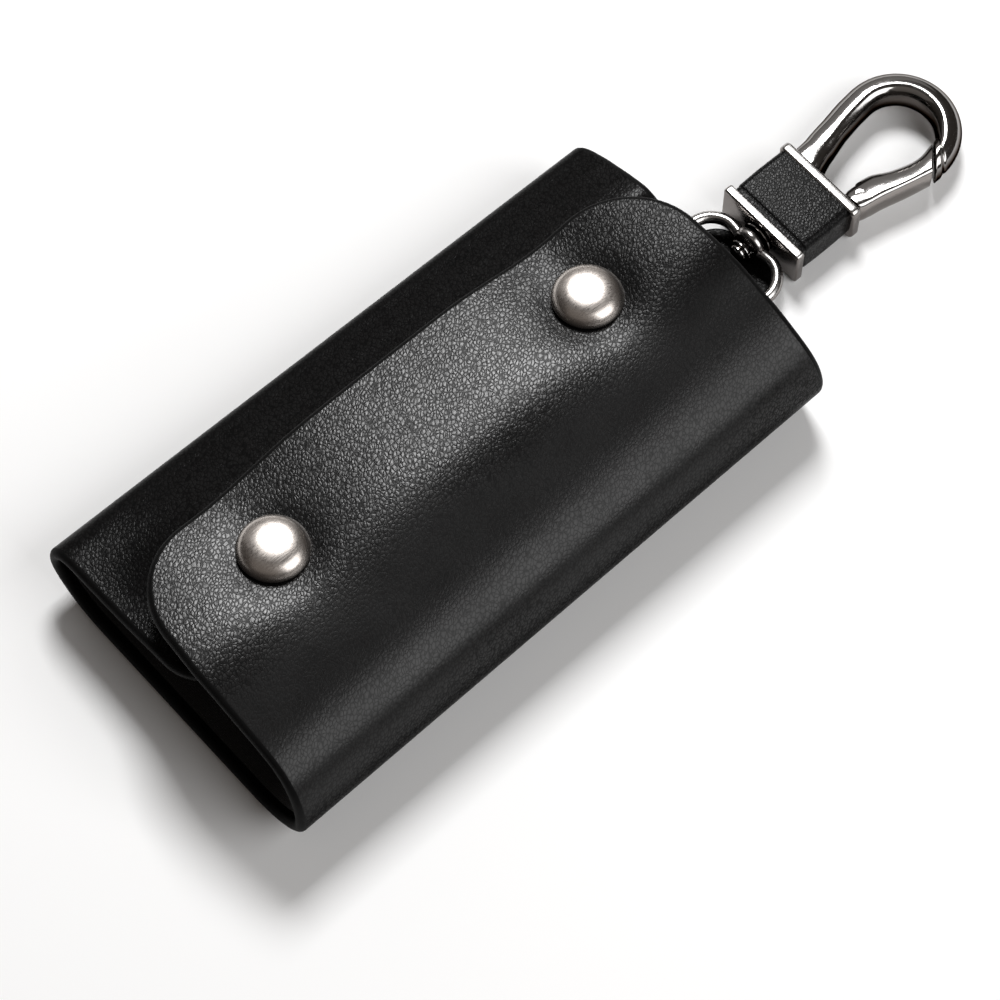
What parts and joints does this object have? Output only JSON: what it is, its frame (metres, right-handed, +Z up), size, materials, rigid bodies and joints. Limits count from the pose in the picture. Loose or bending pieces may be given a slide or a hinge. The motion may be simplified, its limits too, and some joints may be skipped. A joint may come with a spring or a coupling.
{
  "type": "key case",
  "caption": "Folded leather key case with a snapped flap over an under flap, a row of key hooks inside and a swivelling spring-gate snap hook at one end.",
  "frame": {"origin": "centre of the flat strip the closed case rests on", "axes": "+X along the case toward the snap hook, +Y across the case toward the under-flap fold, +Z up out of the resting face"},
  "size_m": [0.1532, 0.055, 0.0249],
  "materials": {
    "leather": "black, fine pebble grain, semi-gloss, painted rounded edges",
    "lining": "black woven lining, matte",
    "nickel": "satin nickel plate",
    "steel": "plain plated steel",
    "chrome": "polished chrome plate on a zinc casting"
  },
  "bodies": {
    "case_back": {"back_panel": "leather", "back_lining": "lining", "key_rail": "steel", "hook_rod": "steel", "rail_rivets": "steel", "rivet_burrs": "steel", "ring_strap": "leather", "strap_rivet": "steel"},
    "top_flap": {"top_flap_leather": "leather", "top_flap_lining": "lining", "snap_cap_near": "nickel", "snap_cap_far": "nickel", "snap_socket_near": "steel", "snap_socket_far": "steel"},
    "under_flap": {"under_flap_leather": "leather", "under_flap_lining": "lining", "snap_stud_near": "steel", "snap_stud_far": "steel", "stud_eyelet_near": "steel", "stud_eyelet_far": "steel"},
    "ring": {"swivel_ring": "chrome"},
    "snap_hook": {"swivel_post": "chrome", "swivel_washer": "chrome", "lower_cap": "chrome", "leather_band": "leather", "block_core": "steel", "upper_cap": "chrome", "hook_loop": "chrome", "gate_post": "chrome", "gate_pin": "steel", "gate_spring": "steel"},
    "gate": {"gate": "chrome"},
    "key_hook_1": {"key_hook_1": "nickel"},
    "key_hook_2": {"key_hook_2": "nickel"},
    "key_hook_3": {"key_hook_3": "nickel"},
    "key_hook_4": {"key_hook_4": "nickel"},
    "key_hook_5": {"key_hook_5": "nickel"},
    "key_hook_6": {"key_hook_6": "nickel"}
  },
  "joints": [
    {"name": "top_flap_bend", "type": "hinge", "parent": "case_back", "child": "top_flap", "pos_m": [0, -0.02582, 0.012], "axis": [1, 0, 0], "range_deg": [0, 170]},
    {"name": "under_flap_bend", "type": "hinge", "parent": "case_back", "child": "under_flap", "pos_m": [0, 0.02662, 0.01012], "axis": [-1, 0, 0], "range_deg": [0, 119]},
    {"name": "ring_swing", "type": "hinge", "parent": "case_back", "child": "ring", "pos_m": [0.0545, -0.0004, 0.00375], "axis": [0, -1, 0], "range_deg": [-60, 60]},
    {"name": "hook_swivel", "type": "hinge", "parent": "ring", "child": "snap_hook", "pos_m": [0.063, -0.0004, 0.00375], "axis": [1, 0, 0], "continuous": true},
    {"name": "gate_hinge", "type": "hinge", "parent": "snap_hook", "child": "gate", "pos_m": [0.0789, -0.0061, 0.00375], "axis": [0, 0, 1], "range_deg": [0, 30], "stiffness_Nm_per_rad": 0.0006, "springref_deg": -28.65},
    {"name": "key_hook_1_swing", "type": "hinge", "parent": "case_back", "child": "key_hook_1", "pos_m": [0.0354, -0.0135, 0.0036], "axis": [0, 1, 0], "range_deg": [0, 20]},
    {"name": "key_hook_2_swing", "type": "hinge", "parent": "case_back", "child": "key_hook_2", "pos_m": [0.0354, -0.0081, 0.0036], "axis": [0, 1, 0], "range_deg": [0, 20]},
    {"name": "key_hook_3_swing", "type": "hinge", "parent": "case_back", "child": "key_hook_3", "pos_m": [0.0354, -0.0027, 0.0036], "axis": [0, 1, 0], "range_deg": [0, 20]},
    {"name": "key_hook_4_swing", "type": "hinge", "parent": "case_back", "child": "key_hook_4", "pos_m": [0.0354, 0.0027, 0.0036], "axis": [0, 1, 0], "range_deg": [0, 20]},
    {"name": "key_hook_5_swing", "type": "hinge", "parent": "case_back", "child": "key_hook_5", "pos_m": [0.0354, 0.0081, 0.0036], "axis": [0, 1, 0], "range_deg": [0, 20]},
    {"name": "key_hook_6_swing", "type": "hinge", "parent": "case_back", "child": "key_hook_6", "pos_m": [0.0354, 0.0135, 0.0036], "axis": [0, 1, 0], "range_deg": [0, 20]}
  ],
  "couplings": [
    {"joint": "under_flap_bend", "follows": "top_flap_bend", "ratio": 0.7}
  ]
}
